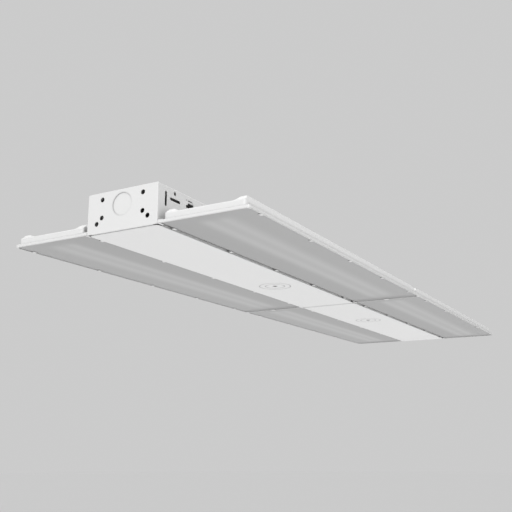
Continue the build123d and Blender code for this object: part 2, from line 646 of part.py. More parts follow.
# Supply leads from the terminal block to the two drivers.
with BuildPart() as supply_leads:
    for end in (-1, 1):
        for y in (-SUPPLY_Y, SUPPLY_Y):
            along(end * (BLOCK_X - 5), -end * CORE_X1, y, SUPPLY_Z, SUPPLY_R)

export_step(supply_leads.part, "parts/supply_leads.step")


# Output lead from a driver through the channel wall to the socket of a board.
def output_lead(end, side):
    points = [
        (-end * CORE_X0, side * LEAD_Y, LEAD_OUT_Z),
        (-end * LEAD_X, side * LEAD_Y, LEAD_OUT_Z),
        (-end * LEAD_X, side * LEAD_Y, LEAD_Z),
        (-end * LEAD_X, side * SOCKET_Y, LEAD_Z),
        (-end * SOCKET_X0, side * SOCKET_Y, LEAD_Z),
    ]
    with BuildPart() as lead:
        with BuildLine() as path:
            FilletPolyline(*points, radius=LEAD_R + 0.1)
        with BuildSketch(Plane(origin=points[0], z_dir=(end, 0, 0))):
            Circle(LEAD_R)
        sweep(path=path.line)
    return lead.part


for end, end_name in ((-1, "near"), (1, "far")):
    for side, side_name in ((1, "left"), (-1, "right")):
        lead = output_lead(end, side)
        export_step(lead, "parts/lead_" + end_name + "_" + side_name + ".step")

with BuildPart() as bushings:
    for end in (-1, 1):
        for side in (-1, 1):
            x = end * LEAD_X
            across(x, side * IN_HALF, side * (WING_INNER + 4.0), LEAD_Z, BUSH_R)
            across(x, side * (IN_HALF - 1.55), side * IN_HALF, LEAD_Z, BUSH_HEAD)
            y1 = side * (WING_INNER + 5.0)
            across(x, side * (IN_HALF - 3.0), y1, LEAD_Z, LEAD_R + 0.05, Mode.SUBTRACT)

export_step(bushings.part, "parts/bushings.step")

with BuildPart() as splice_left:
    splice_top = WING_TOP + SPLICE_THICK
    block(-SPLICE_HALF, SPLICE_HALF, SPLICE_Y0, SPLICE_Y1, WING_TOP, splice_top)
    for x in (-SPLICE_RIVET_X, SPLICE_RIVET_X):
        for y in SPLICE_RIVET_Y:
            upright(x, y, WING_TOP - 1, splice_top + 1, RIVET_HOLE, Mode.SUBTRACT)

with BuildPart() as splice_right:
    add(splice_left.part.mirror(Plane.XZ))

export_step(splice_left.part, "parts/splice_left.step")
export_step(splice_right.part, "parts/splice_right.step")


# Blind rivet: a low head above and a set tail below the sheets.
def rivet(x, y, low, high):
    upright(x, y, high, high + 1.1, RIVET_R + 1.4)
    upright(x, y, low - 0.1, high + 0.1, RIVET_R)
    upright(x, y, low - 1.4, low, RIVET_R + 0.8)


with BuildPart() as splice_rivets:
    for side in (-1, 1):
        for x in (-SPLICE_RIVET_X, SPLICE_RIVET_X):
            for y in SPLICE_RIVET_Y:
                rivet(x, side * y, ROOM_TOP, WING_TOP + SPLICE_THICK)

export_step(splice_rivets.part, "parts/splice_rivets.step")

with BuildPart() as channel_rivets:
    for end in (-1, 1):
        for side in (-1, 1):
            for x in FOOT_RIVET_X:
                upright(end * x, side * FOOT_Y, FLANGE_TOP, FLANGE_TOP + 0.9, FOOT_HEAD_R)
                upright(end * x, side * FOOT_Y, WEB_LOW - 0.1, FLANGE_TOP + 0.1, FOOT_RIVET_R)
                upright(end * x, side * FOOT_Y, WEB_LOW - 1.0, WEB_LOW, FOOT_TAIL_R)

export_step(channel_rivets.part, "parts/channel_rivets.step")

with BuildPart() as cap_rivets:
    for end in (-1, 1):
        for y in (-CAP_RIVET_Y, CAP_RIVET_Y):
            rivet(end * CAP_SCREW_X, y, WEB_LOW, WEB_TOP + END_PLATE)

export_step(cap_rivets.part, "parts/cap_rivets.step")

with BuildPart() as cap_screws:
    for end in (-1, 1):
        for y in (-CAP_SCREW_Y, CAP_SCREW_Y):
            head_z = IN_TOP - END_PLATE
            upright(end * CAP_SCREW_X, y, head_z - 2.0, head_z, 3.0)
            upright(end * CAP_SCREW_X, y, head_z - 0.2, BOX_TOP, SCREW_R)

export_step(cap_screws.part, "parts/cap_screws.step")
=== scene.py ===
import json
import math

import bmesh
import bpy
from mathutils import Matrix, Vector


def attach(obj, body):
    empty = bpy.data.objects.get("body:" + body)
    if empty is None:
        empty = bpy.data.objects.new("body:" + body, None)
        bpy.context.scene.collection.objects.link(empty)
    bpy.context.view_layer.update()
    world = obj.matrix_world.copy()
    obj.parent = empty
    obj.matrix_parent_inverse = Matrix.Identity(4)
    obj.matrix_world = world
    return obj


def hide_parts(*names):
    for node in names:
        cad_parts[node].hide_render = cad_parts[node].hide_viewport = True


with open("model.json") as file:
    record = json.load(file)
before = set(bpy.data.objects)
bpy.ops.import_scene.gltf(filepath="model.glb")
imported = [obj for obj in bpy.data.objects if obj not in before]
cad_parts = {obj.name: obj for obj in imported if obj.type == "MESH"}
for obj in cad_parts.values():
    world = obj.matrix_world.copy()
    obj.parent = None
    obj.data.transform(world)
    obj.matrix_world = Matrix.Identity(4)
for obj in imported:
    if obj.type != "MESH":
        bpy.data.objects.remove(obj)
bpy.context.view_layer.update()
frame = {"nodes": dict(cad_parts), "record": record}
nodes = frame["nodes"]
scene = bpy.context.scene
print("frame:", len(nodes), "CAD nodes loaded")


# small helpers for node trees

def addNode(tree, kind, place, values=None, settings=None):
    made = tree.nodes.new(kind)
    made.location = (place[0] * 200, place[1] * -180)
    for key, value in (settings or {}).items():
        setattr(made, key, value)
    for key, value in (values or {}).items():
        made.inputs[key].default_value = value
    return made


def join(tree, source, output, target, entry):
    tree.links.new(source.outputs[output], target.inputs[entry])


def mathNode(tree, operation, place, first=None, second=None, third=None, clamp=False):
    made = addNode(tree, "ShaderNodeMath", place, settings={"operation": operation, "use_clamp": clamp})
    for index, given in enumerate((first, second, third)):
        if given is None:
            continue
        if isinstance(given, (int, float)):
            made.inputs[index].default_value = given
        else:
            tree.links.new(given, made.inputs[index])
    return made.outputs[0]


def objectAxes(tree, place):
    coords = addNode(tree, "ShaderNodeTexCoord", place)
    axes = addNode(tree, "ShaderNodeSeparateXYZ", (place[0] + 1, place[1]))
    join(tree, coords, "Object", axes, "Vector")
    return axes


def bellCurve(tree, place, offset, halfWidth):
    # 1 at no offset and falling to 0 on both sides of it
    column, row = place
    scaled = mathNode(tree, "DIVIDE", (column, row), offset, halfWidth)
    squared = mathNode(tree, "MULTIPLY", (column + 1, row), scaled, scaled)
    falling = mathNode(tree, "MULTIPLY", (column + 2, row), squared, -1.0)
    return mathNode(tree, "EXPONENT", (column + 3, row), falling)


def rampValue(tree, place, value, span, results=(0.0, 1.0), kind="SMOOTHSTEP"):
    made = addNode(tree, "ShaderNodeMapRange", place, {
        "From Min": span[0], "From Max": span[1], "To Min": results[0], "To Max": results[1],
    }, {"interpolation_type": kind})
    tree.links.new(value, made.inputs["Value"])
    return made.outputs["Result"]


def newGroup(name, entries, results):
    group = bpy.data.node_groups.new(name, "ShaderNodeTree")
    for label, value in entries.items():
        kind = "NodeSocketVector" if isinstance(value, tuple) else "NodeSocketFloat"
        socket = group.interface.new_socket(name=label, in_out="INPUT", socket_type=kind)
        socket.default_value = value
    for label, kind in results.items():
        group.interface.new_socket(name=label, in_out="OUTPUT", socket_type=kind)
    start = addNode(group, "NodeGroupInput", (-2, 0))
    end = addNode(group, "NodeGroupOutput", (8, 0))
    return group, start, end


def placeGroup(tree, group, place, values):
    made = tree.nodes.new("ShaderNodeGroup")
    made.node_tree = group
    made.location = (place[0] * 200, place[1] * -180)
    for key, value in values.items():
        made.inputs[key].default_value = value
    return made


# surface effects shared by several materials

pitFineness = 1.7
pitShare = 0.35
edgeGain = 6.0
dustStart = 0.4
dustSpread = 2.2


def buildCoatGrain():
    # orange peel of sprayed powder, and a slow drift of its tone
    group, start, end = newGroup(
        "coatGrain",
        {"Peel Scale": 700.0, "Peel Height": 0.5, "Drift Scale": 7.0, "Drift Amount": 0.02},
        {"Height": "NodeSocketFloat", "Tone": "NodeSocketFloat", "Drift": "NodeSocketFloat"},
    )
    coords = addNode(group, "ShaderNodeTexCoord", (-2, 2))
    peel = addNode(group, "ShaderNodeTexNoise", (0, 0), {"Detail": 2.5, "Roughness": 0.55})
    join(group, coords, "Object", peel, "Vector")
    join(group, start, "Peel Scale", peel, "Scale")
    pits = addNode(group, "ShaderNodeTexVoronoi", (0, 2), {"Randomness": 0.9})
    join(group, coords, "Object", pits, "Vector")
    finer = mathNode(group, "MULTIPLY", (-1, 3), start.outputs["Peel Scale"], pitFineness)
    group.links.new(finer, pits.inputs["Scale"])
    dimples = mathNode(group, "MULTIPLY", (1, 2), pits.outputs["Distance"], pitShare)
    rough = mathNode(group, "ADD", (2, 1), peel.outputs["Fac"], dimples)
    height = mathNode(group, "MULTIPLY", (3, 1), rough, start.outputs["Peel Height"])
    group.links.new(height, end.inputs["Height"])
    slow = addNode(group, "ShaderNodeTexNoise", (0, 4), {"Detail": 4.0, "Roughness": 0.6})
    join(group, coords, "Object", slow, "Vector")
    join(group, start, "Drift Scale", slow, "Scale")
    centred = mathNode(group, "SUBTRACT", (1, 4), slow.outputs["Fac"], 0.5)
    amount = mathNode(group, "MULTIPLY", (2, 4), centred, start.outputs["Drift Amount"])
    tone = mathNode(group, "ADD", (3, 4), amount, 1.0)
    group.links.new(tone, end.inputs["Tone"])
    group.links.new(slow.outputs["Fac"], end.inputs["Drift"])
    return group


def buildSoftEdge():
    # rounded look of folded and cut edges, and a mask of where they are; the materials tint that mask with their edge
    # colour, on most finishes a lighter painted highlight along the edges
    group, start, end = newGroup(
        "softEdge",
        {"Radius": 0.0008},
        {"Normal": "NodeSocketVector", "Edge": "NodeSocketFloat"},
    )
    bevel = addNode(group, "ShaderNodeBevel", (0, 0), settings={"samples": 6})
    join(group, start, "Radius", bevel, "Radius")
    flat = addNode(group, "ShaderNodeNewGeometry", (0, 2))
    turned = addNode(group, "ShaderNodeVectorMath", (1, 1), settings={"operation": "DOT_PRODUCT"})
    join(group, bevel, "Normal", turned, 0)
    join(group, flat, "Normal", turned, 1)
    away = mathNode(group, "SUBTRACT", (2, 1), 1.0, turned.outputs["Value"])
    mask = mathNode(group, "MULTIPLY", (3, 1), away, edgeGain, clamp=True)
    group.links.new(bevel.outputs["Normal"], end.inputs["Normal"])
    group.links.new(mask, end.inputs["Edge"])
    return group


def buildFaintDust():
    # dust that settles on faces turned up, in soft patches
    group, start, end = newGroup(
        "faintDust",
        {"Amount": 0.3, "Patch Scale": 12.0},
        {"Mask": "NodeSocketFloat"},
    )
    coords = addNode(group, "ShaderNodeTexCoord", (-2, 2))
    geometry = addNode(group, "ShaderNodeNewGeometry", (-2, 4))
    axes = addNode(group, "ShaderNodeSeparateXYZ", (-1, 4))
    join(group, geometry, "Normal", axes, "Vector")
    up = mathNode(group, "MULTIPLY", (0, 4), axes.outputs["Z"], 1.0, clamp=True)
    patch = addNode(group, "ShaderNodeTexNoise", (0, 2), {"Detail": 6.0, "Roughness": 0.65})
    join(group, coords, "Object", patch, "Vector")
    join(group, start, "Patch Scale", patch, "Scale")
    raised = mathNode(group, "SUBTRACT", (1, 2), patch.outputs["Fac"], dustStart)
    spread = mathNode(group, "MULTIPLY", (2, 2), raised, dustSpread, clamp=True)
    landed = mathNode(group, "MULTIPLY", (3, 3), spread, up)
    mask = mathNode(group, "MULTIPLY", (4, 3), landed, start.outputs["Amount"])
    group.links.new(mask, end.inputs["Mask"])
    return group


def buildDrawnLines():
    # fine lines left along the length by rolling or extruding
    group, start, end = newGroup(
        "drawnLines",
        {"Fineness": 900.0, "Length Stretch": 0.01, "Depth": 0.4},
        {"Height": "NodeSocketFloat", "Streak": "NodeSocketFloat"},
    )
    axes = objectAxes(group, (-3, 2))
    along = mathNode(group, "MULTIPLY", (-1, 2), axes.outputs["X"], start.outputs["Length Stretch"])
    packed = addNode(group, "ShaderNodeCombineXYZ", (0, 2))
    group.links.new(along, packed.inputs["X"])
    join(group, axes, "Y", packed, "Y")
    join(group, axes, "Z", packed, "Z")
    lines = addNode(group, "ShaderNodeTexNoise", (1, 2), {"Detail": 3.0, "Roughness": 0.7})
    join(group, packed, "Vector", lines, "Vector")
    join(group, start, "Fineness", lines, "Scale")
    height = mathNode(group, "MULTIPLY", (3, 1), lines.outputs["Fac"], start.outputs["Depth"])
    group.links.new(height, end.inputs["Height"])
    group.links.new(lines.outputs["Fac"], end.inputs["Streak"])
    return group


def buildCornerShade():
    # painted shade: darker where faces stand close together, in corners, gaps and trenches
    group, start, end = newGroup(
        "cornerShade",
        {"Reach": 0.012, "Depth": 0.5, "Open Part": 0.35, "Full Part": 1.0},
        {"Tone": "NodeSocketFloat"},
    )
    closeness = addNode(group, "ShaderNodeAmbientOcclusion", (0, 0), settings={"samples": 8})
    join(group, start, "Reach", closeness, "Distance")
    hidden = mathNode(group, "SUBTRACT", (1, 0), 1.0, closeness.outputs["AO"])
    deeper = mathNode(group, "SUBTRACT", (2, 0), hidden, start.outputs["Open Part"])
    room = mathNode(group, "SUBTRACT", (2, 1), start.outputs["Full Part"], start.outputs["Open Part"])
    share = mathNode(group, "DIVIDE", (3, 0), deeper, room, clamp=True)
    darker = mathNode(group, "MULTIPLY", (4, 0), share, start.outputs["Depth"])
    tone = mathNode(group, "SUBTRACT", (5, 0), 1.0, darker)
    group.links.new(tone, end.inputs["Tone"])
    return group


def buildRoundGrooveAndShade():
    # shallow groove that the punch leaves beside a round slit: 1 in its middle and 0 away from it. Lean makes one side
    # of the ring stronger; the materials use the mask for a bump and for painted shade
    group, start, end = newGroup(
        "roundGrooveAndShade",
        {
            "Centre": (0.0, 0.0, 0.0), "Plane": (1.0, 1.0, 0.0), "Radius": 0.02, "Half Width": 0.001,
            "Lean": (0.0, 0.0, 0.0), "Rest": 1.0,
        },
        {"Mask": "NodeSocketFloat"},
    )
    axes = objectAxes(group, (-7, 2))
    mirrored = addNode(group, "ShaderNodeCombineXYZ", (-4, 2))
    group.links.new(mathNode(group, "ABSOLUTE", (-5, 2), axes.outputs["X"]), mirrored.inputs["X"])
    join(group, axes, "Y", mirrored, "Y")
    join(group, axes, "Z", mirrored, "Z")
    fromMiddle = addNode(group, "ShaderNodeVectorMath", (-3, 2), settings={"operation": "SUBTRACT"})
    join(group, mirrored, "Vector", fromMiddle, 0)
    join(group, start, "Centre", fromMiddle, 1)
    flat = addNode(group, "ShaderNodeVectorMath", (-2, 2), settings={"operation": "MULTIPLY"})
    join(group, fromMiddle, "Vector", flat, 0)
    join(group, start, "Plane", flat, 1)
    reach = addNode(group, "ShaderNodeVectorMath", (-1, 2), settings={"operation": "LENGTH"})
    join(group, flat, "Vector", reach, 0)
    off = mathNode(group, "SUBTRACT", (0, 2), reach.outputs["Value"], start.outputs["Radius"])
    ring = bellCurve(group, (1, 2), off, start.outputs["Half Width"])
    lean = addNode(group, "ShaderNodeVectorMath", (-1, 4), settings={"operation": "DOT_PRODUCT"})
    join(group, flat, "Vector", lean, 0)
    join(group, start, "Lean", lean, 1)
    side = mathNode(group, "ADD", (0, 4), lean.outputs["Value"], start.outputs["Rest"], clamp=True)
    group.links.new(mathNode(group, "MULTIPLY", (5, 2), ring, side), end.inputs["Mask"])
    return group


coatGrain = buildCoatGrain()
softEdge = buildSoftEdge()
faintDust = buildFaintDust()
drawnLines = buildDrawnLines()
cornerShade = buildCornerShade()
roundGrooveAndShade = buildRoundGrooveAndShade()
print("effects: coat grain, soft edge, faint dust, drawn lines, corner shade, round groove")


# materials

def startMaterial(name, colour, roughness, settings):
    made = bpy.data.materials.new(name)
    made.use_nodes = True
    tree = made.node_tree
    tree.nodes.clear()
    output = addNode(tree, "ShaderNodeOutputMaterial", (8, 0))
    shader = addNode(tree, "ShaderNodeBsdfPrincipled", (6, 0), settings)
    shader.inputs["Base Color"].default_value = (*colour, 1.0)
    shader.inputs["Roughness"].default_value = roughness
    join(tree, shader, "BSDF", output, "Surface")
    made.diffuse_color = (*colour, 1.0)
    return made, tree, shader


def tintColour(tree, place, colour, factor, other, mask):
    # multiplies a colour by a value, then mixes another colour over it by a mask
    lit = addNode(tree, "ShaderNodeVectorMath", place, settings={"operation": "SCALE"})
    lit.inputs[0].default_value = colour
    tree.links.new(factor, lit.inputs["Scale"])
    mixed = addNode(tree, "ShaderNodeMix", (place[0] + 1, place[1]), settings={"data_type": "RGBA"})
    tree.links.new(mask, mixed.inputs["Factor"])
    tree.links.new(lit.outputs["Vector"], mixed.inputs["A"])
    mixed.inputs["B"].default_value = (*other, 1.0)
    return mixed.outputs["Result"]


def wanderAround(tree, place, source, amount, middle):
    return mathNode(tree, "MULTIPLY_ADD", place, source, amount, middle - amount / 2)


def finishSurface(tree, shader, colour, roughness, height, edge, strength, reach):
    tree.links.new(colour, shader.inputs["Base Color"])
    tree.links.new(roughness, shader.inputs["Roughness"])
    bump = addNode(tree, "ShaderNodeBump", (5, 3), {"Strength": strength, "Distance": reach})
    tree.links.new(height, bump.inputs["Height"])
    join(tree, edge, "Normal", bump, "Normal")
    join(tree, bump, "Normal", shader, "Normal")


def pressedMarksAndShade(tree, look):
    # grooves of the round slits and the rolled edge where two covers meet, as a mask for a bump and for painted shade
    # along them
    marks = None
    for row, radius in enumerate(look["ringRadii"]):
        ring = placeGroup(tree, roundGrooveAndShade, (0, 6 + row), {
            "Centre": look["ringCentre"], "Plane": look["ringPlane"], "Radius": radius,
            "Half Width": look["ringHalfWidth"], "Lean": look["ringLean"], "Rest": look["ringRest"],
        }).outputs["Mask"]
        marks = ring if marks is None else mathNode(tree, "ADD", (1, 6), marks, ring, clamp=True)
    if "seamHalfWidth" not in look:
        return marks
    rolled = bellCurve(tree, (-3, 9), objectAxes(tree, (-5, 9)).outputs["X"], look["seamHalfWidth"])
    return mathNode(tree, "MAXIMUM", (2, 6), marks, rolled)


coatFeel = {"ior": 1.5, "dustPatch": 14.0, "wander": 0.10, "dustDullness": 0.4, "bumpReach": 0.0002}


def powderCoat(name, look):
    made, tree, shader = startMaterial(name, look["colour"], look["roughness"], {"IOR": coatFeel["ior"]})
    grain = placeGroup(tree, coatGrain, (0, 0), {
        "Peel Scale": look["peelScale"], "Peel Height": look["peelHeight"],
        "Drift Scale": look["driftScale"], "Drift Amount": look["drift"],
    })
    edge = placeGroup(tree, softEdge, (0, 2), {"Radius": look["edgeRadius"]})
    dust = placeGroup(tree, faintDust, (0, 4), {"Amount": look["dust"], "Patch Scale": coatFeel["dustPatch"]})
    # the edge colour is a painted highlight along the edges
    painted = tintColour(tree, (1, 1), look["colour"], grain.outputs["Tone"], look["edgeColour"], edge.outputs["Edge"])
    dusty = addNode(tree, "ShaderNodeMix", (3, 1), settings={"data_type": "RGBA"})
    tree.links.new(dust.outputs["Mask"], dusty.inputs["Factor"])
    tree.links.new(painted, dusty.inputs["A"])
    dusty.inputs["B"].default_value = (*look["dustColour"], 1.0)
    # painted shade in corners, gaps and trenches, from how closely faces stand
    shade = placeGroup(tree, cornerShade, (3, 5), {
        "Reach": look["shadeReach"], "Depth": look["shadeDepth"],
        "Open Part": look["openPart"], "Full Part": look["fullPart"],
    })
    tone = shade.outputs["Tone"]
    height = grain.outputs["Height"]
    # the marks darken the colour as painted shade along the slits and the cover joint, and sink the bump
    if "ringRadii" in look:
        marks = pressedMarksAndShade(tree, look)
        paintedMarkShade = mathNode(tree, "MULTIPLY_ADD", (3, 7), marks, look["ringShadeTone"] - 1.0, 1.0)
        tone = mathNode(tree, "MULTIPLY", (4, 6), paintedMarkShade, tone)
        height = mathNode(tree, "MULTIPLY_ADD", (4, 7), marks, -look["ringDepth"], height)
    shaded = addNode(tree, "ShaderNodeVectorMath", (4, 1), settings={"operation": "SCALE"})
    tree.links.new(dusty.outputs["Result"], shaded.inputs[0])
    tree.links.new(tone, shaded.inputs["Scale"])
    wander = wanderAround(tree, (2, 3), grain.outputs["Drift"], coatFeel["wander"], look["roughness"])
    duller = mathNode(tree, "MULTIPLY_ADD", (3, 3), dust.outputs["Mask"], coatFeel["dustDullness"], wander, clamp=True)
    finishSurface(tree, shader, shaded.outputs["Vector"], duller, height, edge, look["bump"], coatFeel["bumpReach"])
    return made


def paintedLensLight(tree, look):
    # painted light: two soft pale bands along each lens, where the LED boards behind show through the frosting, faded
    # at both ends of every module; painted shade darkening the end of every module towards +X, which for the first is
    # the seam, and painted shade across the lens, darker towards the box
    axes = objectAxes(tree, (-6, 0))
    wing = mathNode(tree, "ABSOLUTE", (-4, 1), axes.outputs["Y"])
    bands = []
    for row, centre in enumerate(look["bandCentres"]):
        off = mathNode(tree, "SUBTRACT", (-3, row), wing, centre)
        bands.append(bellCurve(tree, (-2, row), off, look["bandHalfWidth"]))
    both = mathNode(tree, "ADD", (2, 0), bands[0], bands[1], clamp=True)
    glowUp = rampValue(tree, (-2, 6), wing, look["glowFrom"])
    glowDown = rampValue(tree, (-2, 7), wing, look["glowTo"], (1.0, 0.0))
    glow = mathNode(tree, "MULTIPLY", (0, 6), glowUp, glowDown)
    wide = mathNode(tree, "MULTIPLY", (1, 6), glow, look["glowShare"])
    narrow = mathNode(tree, "MULTIPLY", (2, 1), both, 1.0 - look["glowShare"])
    spread = mathNode(tree, "ADD", (2, 2), wide, narrow)
    fromEnd = mathNode(tree, "ADD", (-4, 3), axes.outputs["X"], look["moduleLength"])
    inModule = mathNode(tree, "MODULO", (-3, 3), fromEnd, look["moduleLength"])
    rise = rampValue(tree, (-2, 3), inModule, look["rise"])
    fall = rampValue(tree, (-2, 4), inModule, look["fall"], (1.0, 0.0))
    ends = mathNode(tree, "MULTIPLY", (0, 3), rise, fall)
    mask = mathNode(tree, "MULTIPLY", (3, 1), spread, ends)
    paintedEndShade = rampValue(tree, (-2, 8), inModule, look["paintedEndShade"], (1.0, look["paintedEndShadeTone"]))
    across = rampValue(tree, (-2, 5), wing, look["shadingAcrossAt"], look["shadingAcrossTone"], "LINEAR")
    return mask, mathNode(tree, "MULTIPLY", (0, 5), across, paintedEndShade)


frostFeel = {"ior": 1.49, "height": 0.6, "driftScale": 4.0, "edgeRadius": 0.0006, "wander": 0.08, "bumpReach": 0.0001}


def frostedAcrylic(name, look):
    made, tree, shader = startMaterial(name, look["colour"], look["roughness"], {"IOR": frostFeel["ior"]})
    grain = placeGroup(tree, coatGrain, (-1, 9), {
        "Peel Scale": look["frostScale"], "Peel Height": frostFeel["height"],
        "Drift Scale": frostFeel["driftScale"], "Drift Amount": look["drift"],
    })
    edge = placeGroup(tree, softEdge, (-1, 11), {"Radius": frostFeel["edgeRadius"]})
    mask, across = paintedLensLight(tree, look)
    # tone carries the painted shade; the pale bands mixed in below are painted light
    tone = mathNode(tree, "MULTIPLY", (2, 5), across, grain.outputs["Tone"])
    strength = mathNode(tree, "MULTIPLY", (3, 3), mask, look["bandStrength"])
    lens = tintColour(tree, (3, 5), look["colour"], tone, look["bandColour"], strength)
    wander = wanderAround(tree, (3, 7), grain.outputs["Drift"], frostFeel["wander"], look["roughness"])
    finishSurface(tree, shader, lens, wander, grain.outputs["Height"], edge, look["bump"], frostFeel["bumpReach"])
    return made


metalFeel = {"streakTone": 0.16, "leastTone": 0.92, "wander": 0.18, "bumpReach": 0.0001}


def drawnMetal(name, look):
    made, tree, shader = startMaterial(name, look["colour"], look["roughness"], {"Metallic": look["metallic"]})
    lines = placeGroup(tree, drawnLines, (0, 0), {
        "Fineness": look["fineness"], "Length Stretch": look["stretch"], "Depth": look["depth"],
    })
    streak = lines.outputs["Streak"]
    edge = placeGroup(tree, softEdge, (0, 2), {"Radius": look["edgeRadius"]})
    tone = mathNode(tree, "MULTIPLY_ADD", (1, 0), streak, metalFeel["streakTone"], metalFeel["leastTone"])
    # the edge colour is a painted highlight along the edges
    metal = tintColour(tree, (2, 0), look["colour"], tone, look["edgeColour"], edge.outputs["Edge"])
    wander = wanderAround(tree, (2, 2), streak, metalFeel["wander"], look["roughness"])
    finishSurface(tree, shader, metal, wander, lines.outputs["Height"], edge, look["bump"], metalFeel["bumpReach"])
    return made


plasticFeel = {"ior": 1.46, "height": 0.7, "wander": 0.14, "bumpReach": 0.0001}


def mouldedPlastic(name, look):
    made, tree, shader = startMaterial(name, look["colour"], look["roughness"], {"IOR": plasticFeel["ior"]})
    grain = placeGroup(tree, coatGrain, (0, 0), {
        "Peel Scale": look["grainScale"], "Peel Height": plasticFeel["height"],
        "Drift Scale": look["driftScale"], "Drift Amount": look["drift"],
    })
    edge = placeGroup(tree, softEdge, (0, 2), {"Radius": look["edgeRadius"]})
    # the edge colour is a painted highlight along the edges, except the board's yellowish edge, which is its own core
    # showing
    plastic = tintColour(tree, (2, 0), look["colour"], grain.outputs["Tone"], look["edgeColour"], edge.outputs["Edge"])
    wander = wanderAround(tree, (2, 2), grain.outputs["Drift"], plasticFeel["wander"], look["roughness"])
    finishSurface(tree, shader, plastic, wander, grain.outputs["Height"], edge, look["bump"], plasticFeel["bumpReach"])
    return made


panPaint = {
    "colour": (0.872, 0.872, 0.87), "roughness": 0.42, "peelScale": 620.0, "peelHeight": 0.5,
    "driftScale": 5.0, "drift": 0.020, "edgeRadius": 0.0022, "edgeColour": (0.88, 0.88, 0.878),
    "dust": 0.10, "dustColour": (0.74, 0.73, 0.71), "bump": 0.12,
    "shadeReach": 0.011, "shadeDepth": 0.56, "openPart": 0.14, "fullPart": 0.60,
}
channelPaint = {
    "colour": (0.82, 0.82, 0.818), "roughness": 0.40, "peelScale": 640.0, "peelHeight": 0.5,
    "driftScale": 6.0, "drift": 0.020, "edgeRadius": 0.0010, "edgeColour": (0.88, 0.88, 0.878),
    "dust": 0.14, "dustColour": (0.72, 0.71, 0.69), "bump": 0.12,
    "shadeReach": 0.018, "shadeDepth": 0.62, "openPart": 0.30, "fullPart": 1.0,
}
endCapPaint = {
    "colour": (0.87, 0.87, 0.868), "roughness": 0.40, "peelScale": 640.0, "peelHeight": 0.5,
    "driftScale": 9.0, "drift": 0.016, "edgeRadius": 0.0009, "edgeColour": (0.89, 0.89, 0.888),
    "dust": 0.10, "dustColour": (0.74, 0.73, 0.71), "bump": 0.12,
    "shadeReach": 0.004, "shadeDepth": 0.85, "openPart": 0.24, "fullPart": 1.0,
    # ring keys: painted shade round the knockout, heavier on one side, and a bump
    "ringCentre": (0.0, 0.0, 0.0323), "ringPlane": (0.0, 1.0, 1.0), "ringRadii": (0.0139,),
    "ringHalfWidth": 0.0010, "ringShadeTone": 0.72, "ringDepth": 1.0, "ringLean": (0.0, 30.0, 20.0), "ringRest": 0.5,
}
coverPaint = {
    "colour": (0.88, 0.88, 0.878), "roughness": 0.44, "peelScale": 600.0, "peelHeight": 0.5,
    "driftScale": 4.0, "drift": 0.016, "edgeRadius": 0.0006, "edgeColour": (0.89, 0.89, 0.888),
    "dust": 0.06, "dustColour": (0.74, 0.73, 0.71), "bump": 0.12,
    "shadeReach": 0.006, "shadeDepth": 0.52, "openPart": 0.25, "fullPart": 0.75,
    # ring keys: painted shade and a bump along the round slits; seamHalfWidth: painted shade at the joint of the two
    # covers
    "ringCentre": (0.205, 0.0, 0.0), "ringPlane": (1.0, 1.0, 0.0), "ringRadii": (0.02475, 0.01525),
    "ringHalfWidth": 0.0011, "ringShadeTone": 0.70, "ringDepth": 2.0, "ringLean": (0.0, 0.0, 0.0), "ringRest": 1.0,
    "seamHalfWidth": 0.0038,
}
splicePaint = {
    "colour": (0.84, 0.84, 0.838), "roughness": 0.44, "peelScale": 620.0, "peelHeight": 0.5,
    "driftScale": 12.0, "drift": 0.020, "edgeRadius": 0.0005, "edgeColour": (0.88, 0.88, 0.878),
    "dust": 0.14, "dustColour": (0.72, 0.71, 0.69), "bump": 0.12,
    "shadeReach": 0.008, "shadeDepth": 0.45, "openPart": 0.35, "fullPart": 1.0,
}
frostedLens = {
    "colour": (0.452, 0.452, 0.452), "roughness": 0.52, "frostScale": 1500.0, "drift": 0.012, "bump": 0.10,
    # band and glow keys: painted light of the LED boards through the frosting; end and across keys: painted shade
    "bandColour": (0.548, 0.548, 0.548), "bandStrength": 1.0,
    "bandCentres": (0.1028, 0.1250), "bandHalfWidth": 0.0065,
    "glowFrom": (0.086, 0.100), "glowTo": (0.130, 0.146), "glowShare": 0.55,
    "moduleLength": 0.584, "rise": (0.012, 0.034), "fall": (0.530, 0.576),
    "paintedEndShade": (0.558, 0.573), "paintedEndShadeTone": 0.82,
    "shadingAcrossAt": (0.060, 0.168), "shadingAcrossTone": (0.965, 1.03),
}
boardMask = {
    "colour": (0.88, 0.88, 0.86), "roughness": 0.38, "grainScale": 1800.0, "driftScale": 10.0, "drift": 0.02,
    "edgeRadius": 0.0003, "edgeColour": (0.72, 0.66, 0.48), "bump": 0.06,
}
emitterPhosphor = {
    "colour": (0.93, 0.78, 0.30), "roughness": 0.34, "grainScale": 5200.0, "driftScale": 300.0, "drift": 0.08,
    "edgeRadius": 0.0003, "edgeColour": (0.92, 0.90, 0.82), "bump": 0.10,
}
socketPlastic = {
    "colour": (0.90, 0.89, 0.84), "roughness": 0.45, "grainScale": 2400.0, "driftScale": 60.0, "drift": 0.03,
    "edgeRadius": 0.0003, "edgeColour": (0.94, 0.93, 0.89), "bump": 0.08,
}
